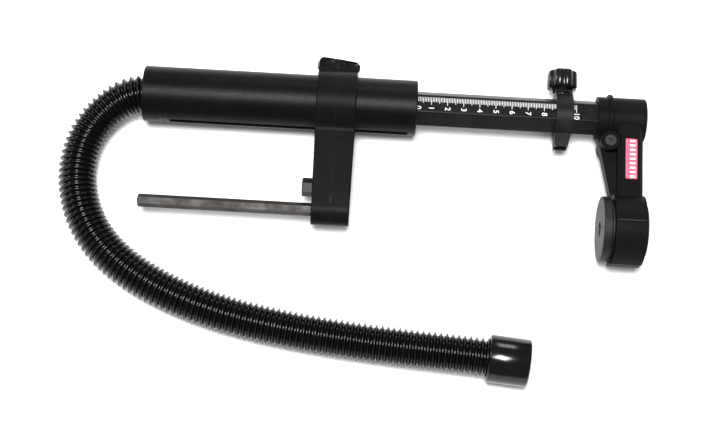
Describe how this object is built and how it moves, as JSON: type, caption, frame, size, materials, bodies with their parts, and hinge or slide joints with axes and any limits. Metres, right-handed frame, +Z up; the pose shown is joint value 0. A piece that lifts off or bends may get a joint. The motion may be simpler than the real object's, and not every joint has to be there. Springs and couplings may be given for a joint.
{
  "type": "drill dust extraction attachment",
  "caption": "Telescopic dust-extraction attachment for a hammer drill: sprung tube with depth stop, suction head, clamp bracket with support rod, and ribbed hose.",
  "frame": {"origin": "on the surface the attachment lies on, under the middle of its bounding box without the hose and cuff", "axes": "+X along the telescopic tube towards the wall seal, +Y towards the two clamping knobs, +Z up"},
  "size_m": [0.3628, 0.2006, 0.0448],
  "materials": {
    "tube_plastic": "fine-grained matte black",
    "inner_tube_aluminium": "satin black anodised",
    "scale_print": "black film with white printed scale",
    "moulded_plastic": "fine-textured matte black",
    "gloss_plastic": "polished black",
    "hose_plastic": "glossy black",
    "seal_rubber": "matt black",
    "cap_rubber": "matt dark grey",
    "rod_steel": "drawn, lightly rusted",
    "blackened_steel": "blackened",
    "bright_steel": "zinc plated",
    "brass": "turned",
    "label_film": "satin red film"
  },
  "bodies": {
    "barrel": {"outer_tube": "tube_plastic", "front_guide_bush": "moulded_plastic", "rear_hose_socket": "moulded_plastic", "socket_screw": "blackened_steel", "return_spring": "bright_steel", "hose": "hose_plastic", "hose_cuff": "hose_plastic"},
    "slide": {"inner_tube": "inner_tube_aluminium", "slide_carrier": "moulded_plastic", "carrier_seal": "seal_rubber", "scale_strip": "scale_print", "head_housing": "moulded_plastic", "clamp_band": "moulded_plastic", "clamp_screw": "blackened_steel", "socket_seal": "seal_rubber", "nozzle_cover": "moulded_plastic", "wall_seal": "seal_rubber", "head_label": "label_film"},
    "cap": {"dust_cap": "cap_rubber"},
    "stop": {"stop_ring": "moulded_plastic", "stop_nut": "bright_steel", "stop_shoe": "brass"},
    "stop_grip": {"stop_knob": "gloss_plastic", "stop_screw": "bright_steel"},
    "holder": {"bracket": "moulded_plastic", "support_rod": "rod_steel", "rod_bolt": "blackened_steel", "rod_clamp_block": "bright_steel", "pressure_pad": "brass", "collar_insert": "brass"},
    "wing": {"wing_knob": "gloss_plastic", "wing_screw": "bright_steel"}
  },
  "joints": [
    {"name": "telescope", "type": "slide", "parent": "barrel", "child": "slide", "axis": [1, 0, 0], "range_m": [-0.058, 0], "stiffness_N_per_m": 120, "springref_m": 0.05, "deforming": ["return_spring"]},
    {"name": "stop_slide", "type": "slide", "parent": "slide", "child": "stop", "axis": [1, 0, 0], "range_m": [-0.023, 0.013]},
    {"name": "stop_knob_turn", "type": "hinge", "parent": "stop", "child": "stop_grip", "pos_m": [0.1045, 0.04887, 0.0203], "axis": [0, 1, 0], "range_deg": [0, 360]},
    {"name": "bracket_slide", "type": "slide", "parent": "barrel", "child": "holder", "axis": [1, 0, 0], "range_m": [-0.018, 0.03]},
    {"name": "wing_turn", "type": "hinge", "parent": "holder", "child": "wing", "pos_m": [-0.0363, 0.05415, 0.0203], "axis": [0, 1, 0], "range_deg": [0, 360]},
    {"name": "cap_pull", "type": "slide", "parent": "slide", "child": "cap", "axis": [1, 0, 0], "range_m": [-0.012, 0]}
  ]
}
